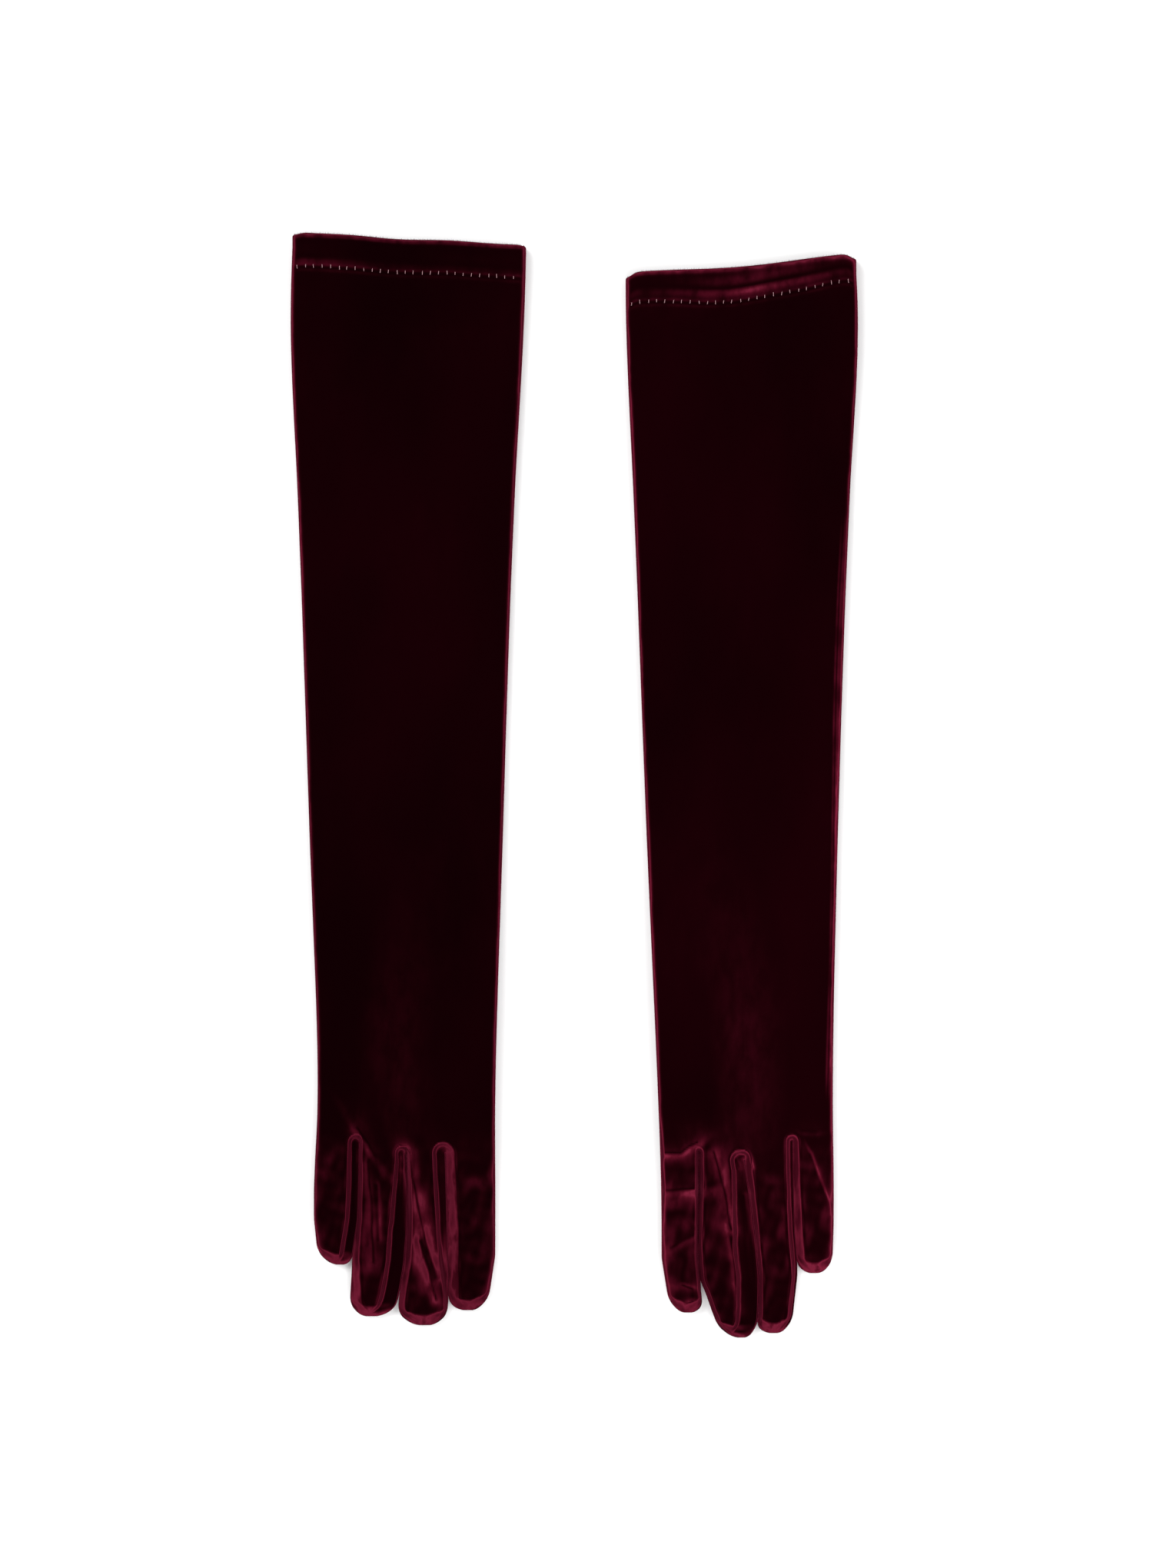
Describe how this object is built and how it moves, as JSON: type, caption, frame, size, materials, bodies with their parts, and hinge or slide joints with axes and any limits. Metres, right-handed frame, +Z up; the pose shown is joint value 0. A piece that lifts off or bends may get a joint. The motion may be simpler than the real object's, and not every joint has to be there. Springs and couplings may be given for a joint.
{
  "type": "opera gloves",
  "caption": "Pair of long stretch velvet opera gloves lying flat on their palms, with fourchettes, set-in thumbs and a stitched hem at the cuff.",
  "frame": {"origin": "on the surface the gloves lie on, under the middle of the pair's box", "axes": "+X from the right-hand glove to the left-hand glove, +Y from the fingertips to the cuffs, +Z up from the palms to the backs of the hands"},
  "size_m": [0.2801, 0.5455, 0.0141],
  "materials": {
    "velvet_pile": "deep burgundy stretch velvet, pile side, near black face on and crimson at grazing angles",
    "velvet_back": "knitted back of the velvet, matt",
    "hem_thread": "dull pink polyester sewing thread"
  },
  "bodies": {
    "right_forearm": {"right_forearm_sleeve": "velvet_pile", "right_forearm_seam": "velvet_back"},
    "right_upper": {"right_upper_sleeve": "velvet_pile", "right_hem_facing": "velvet_pile", "right_hem_thread": "hem_thread", "right_upper_sleeve_seam": "velvet_back"},
    "right_palm": {"right_hand": "velvet_pile", "right_hand_seam": "velvet_back"},
    "right_little": {"right_little_finger": "velvet_pile", "right_little_fourchette_to_ring": "velvet_pile"},
    "right_ring": {"right_ring_finger": "velvet_pile", "right_ring_fourchette_to_little": "velvet_pile", "right_ring_fourchette_to_middle": "velvet_pile"},
    "right_middle": {"right_middle_finger": "velvet_pile", "right_middle_fourchette_to_ring": "velvet_pile", "right_middle_fourchette_to_index": "velvet_pile"},
    "right_index": {"right_index_finger": "velvet_pile", "right_index_fourchette_to_middle": "velvet_pile"},
    "right_thumb_tube": {"right_thumb": "velvet_pile"},
    "left_forearm": {"left_forearm_sleeve": "velvet_pile", "left_forearm_seam": "velvet_back"},
    "left_upper": {"left_upper_sleeve": "velvet_pile", "left_hem_facing": "velvet_pile", "left_hem_thread": "hem_thread", "left_upper_sleeve_seam": "velvet_back"},
    "left_palm": {"left_hand": "velvet_pile", "left_hand_seam": "velvet_back"},
    "left_little": {"left_little_finger": "velvet_pile", "left_little_fourchette_to_ring": "velvet_pile"},
    "left_ring": {"left_ring_finger": "velvet_pile", "left_ring_fourchette_to_little": "velvet_pile", "left_ring_fourchette_to_middle": "velvet_pile"},
    "left_middle": {"left_middle_finger": "velvet_pile", "left_middle_fourchette_to_ring": "velvet_pile", "left_middle_fourchette_to_index": "velvet_pile"},
    "left_index": {"left_index_finger": "velvet_pile", "left_index_fourchette_to_middle": "velvet_pile"},
    "left_thumb_tube": {"left_thumb": "velvet_pile"}
  },
  "joints": [
    {"name": "right_elbow_fold", "type": "hinge", "parent": "right_forearm", "child": "right_upper", "pos_m": [-0.083, 0.15, 0.0091], "axis": [1, 0, 0], "range_deg": [0, 150]},
    {"name": "right_wrist_fold", "type": "hinge", "parent": "right_forearm", "child": "right_palm", "pos_m": [-0.083, -0.085, 0.0089], "axis": [-1, 0, 0], "range_deg": [0, 120]},
    {"name": "right_little_fold", "type": "hinge", "parent": "right_palm", "child": "right_little", "pos_m": [-0.118, -0.17, 0.0086], "axis": [-1, 0, 0], "range_deg": [0, 110]},
    {"name": "right_ring_fold", "type": "hinge", "parent": "right_palm", "child": "right_ring", "pos_m": [-0.095, -0.176, 0.0086], "axis": [-1, 0, 0], "range_deg": [0, 110]},
    {"name": "right_middle_fold", "type": "hinge", "parent": "right_palm", "child": "right_middle", "pos_m": [-0.073, -0.178, 0.0086], "axis": [-1, 0, 0], "range_deg": [0, 110]},
    {"name": "right_index_fold", "type": "hinge", "parent": "right_palm", "child": "right_index", "pos_m": [-0.051, -0.177, 0.0086], "axis": [-1, 0, 0], "range_deg": [0, 110]},
    {"name": "right_thumb_swing", "type": "hinge", "parent": "right_palm", "child": "right_thumb_tube", "pos_m": [-0.054, -0.112, 0.0026], "axis": [0, 0, 1], "range_deg": [0, 50]},
    {"name": "left_elbow_fold", "type": "hinge", "parent": "left_forearm", "child": "left_upper", "pos_m": [0.083, 0.15, 0.0091], "axis": [1, 0, 0], "range_deg": [0, 150]},
    {"name": "left_wrist_fold", "type": "hinge", "parent": "left_forearm", "child": "left_palm", "pos_m": [0.083, -0.085, 0.0089], "axis": [-1, 0, 0], "range_deg": [0, 120]},
    {"name": "left_little_fold", "type": "hinge", "parent": "left_palm", "child": "left_little", "pos_m": [0.119, -0.172, 0.0086], "axis": [-1, 0, 0], "range_deg": [0, 110]},
    {"name": "left_ring_fold", "type": "hinge", "parent": "left_palm", "child": "left_ring", "pos_m": [0.097, -0.18, 0.0086], "axis": [-1, 0, 0], "range_deg": [0, 110]},
    {"name": "left_middle_fold", "type": "hinge", "parent": "left_palm", "child": "left_middle", "pos_m": [0.072, -0.181, 0.0086], "axis": [-1, 0, 0], "range_deg": [0, 110]},
    {"name": "left_index_fold", "type": "hinge", "parent": "left_palm", "child": "left_index", "pos_m": [0.052, -0.178, 0.0086], "axis": [-1, 0, 0], "range_deg": [0, 110]},
    {"name": "left_thumb_swing", "type": "hinge", "parent": "left_palm", "child": "left_thumb_tube", "pos_m": [0.054, -0.112, 0.0026], "axis": [0, 0, -1], "range_deg": [0, 50]},
    {"name": "left_glove_lift", "type": "slide", "parent": "right_forearm", "child": "left_forearm", "axis": [0, 0, 1], "range_m": [0, 0.2]}
  ]
}
